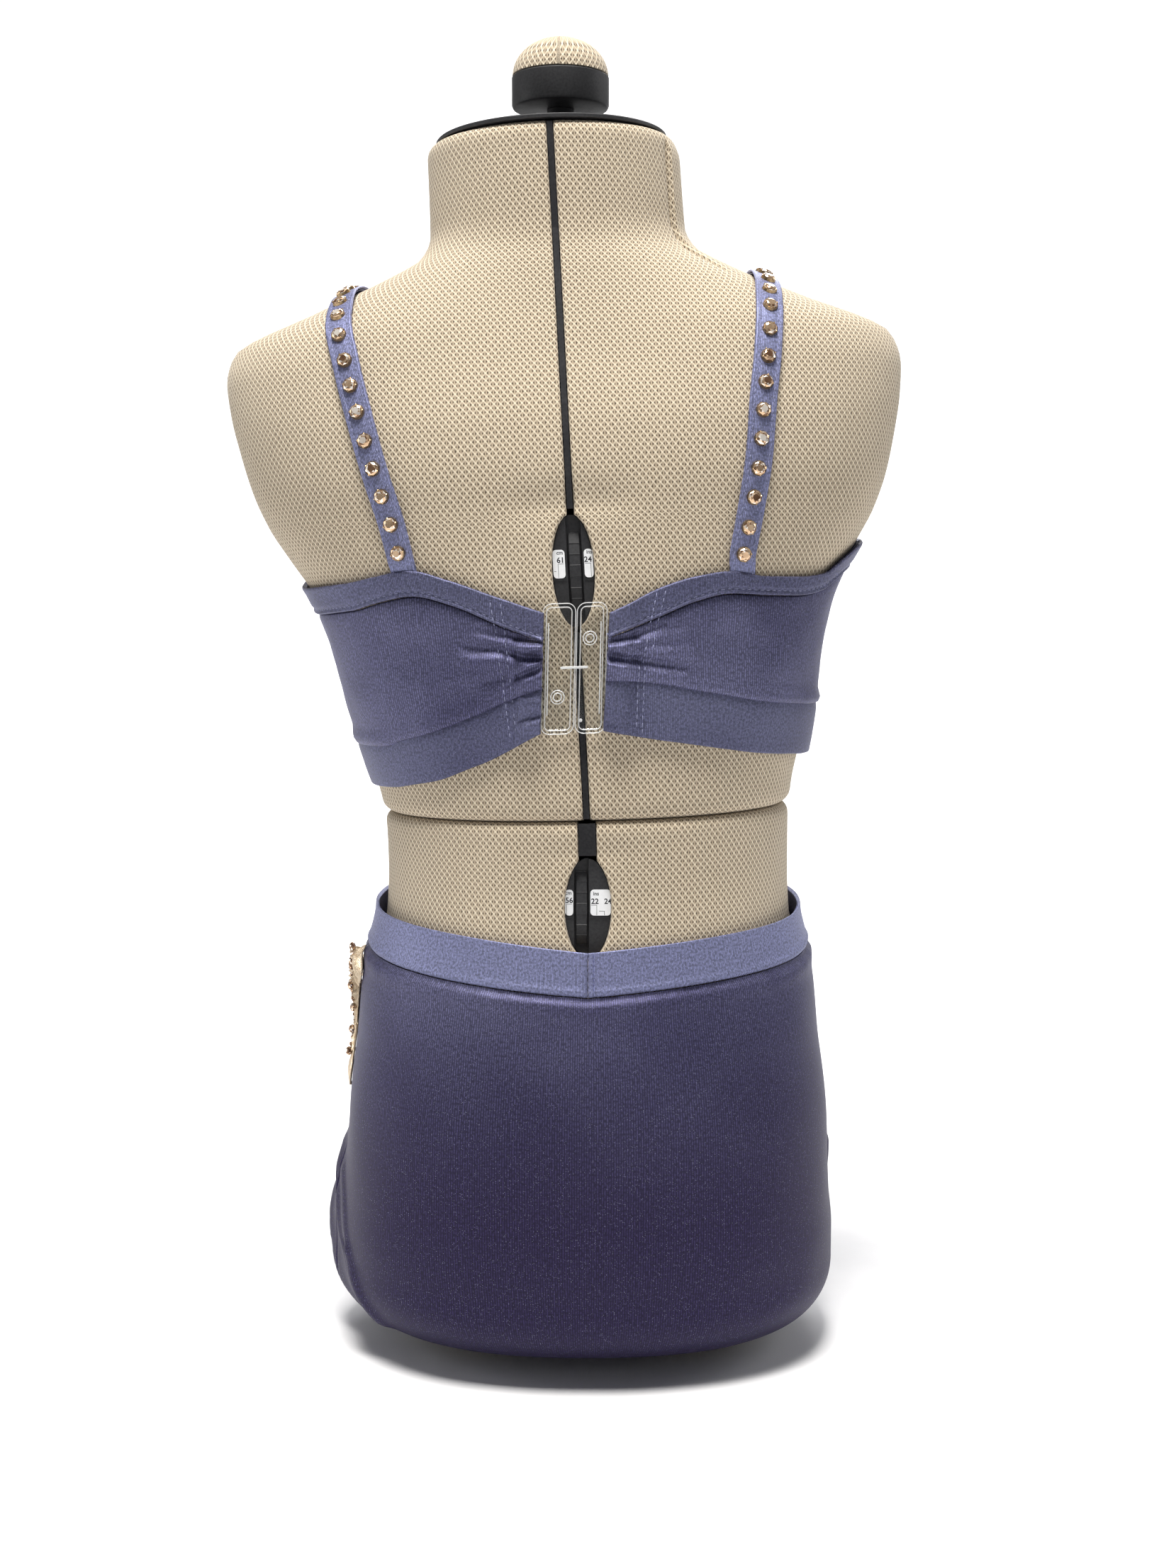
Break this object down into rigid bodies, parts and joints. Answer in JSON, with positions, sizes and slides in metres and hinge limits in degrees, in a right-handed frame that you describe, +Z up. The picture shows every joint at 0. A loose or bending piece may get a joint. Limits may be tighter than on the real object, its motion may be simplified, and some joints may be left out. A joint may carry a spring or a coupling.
{
  "type": "two-piece dance costume on a limbless dress form",
  "caption": "Two-piece stretch dance costume, a strapped crop top with a back clasp and a high-waisted brief, worn by a limbless child-size dress form on a low foot.",
  "frame": {"origin": "centre of the underside of the foot, on the floor", "axes": "+Z up the dress form, +X towards the wearer's right side, +Y towards the wearer's front, so the garment's back faces -Y"},
  "size_m": [0.2997, 0.1926, 0.5833],
  "materials": {
    "satin": "slate blue stretch satin with a fine sparkle",
    "satin_band": "slate blue stretch satin over elastic, smooth",
    "strap": "slate blue satin strap set with clear and amber stones",
    "applique": "gold thread embroidery with small stones",
    "knit": "beige pin-hole knit over foam",
    "black_plastic": "fine-grained black moulding",
    "clear_plastic": "clear moulded plastic"
  },
  "bodies": {
    "root": {"top_front": "satin", "top_back_left": "satin", "top_back_right": "satin", "binding_front": "satin_band", "binding_back_left": "satin_band", "binding_back_right": "satin_band", "underband_front": "satin_band", "underband_back_left": "satin_band", "underband_back_right": "satin_band", "strap_left": "strap", "strap_right": "strap", "clasp_left": "clear_plastic", "clasp_right": "clear_plastic", "waistband": "satin_band", "brief_back": "satin", "brief_front": "satin", "brief_gusset": "satin", "hip_applique": "applique", "form_upper": "knit", "form_lower": "knit", "spine_upper": "black_plastic", "spine_middle": "black_plastic", "spine_lower": "black_plastic", "dial_bust": "black_plastic", "dial_waist": "black_plastic", "neck_plate": "black_plastic", "knob_stem": "black_plastic", "knob_band": "black_plastic", "knob_dome": "knit", "base_foot": "black_plastic"}
  },
  "joints": []
}
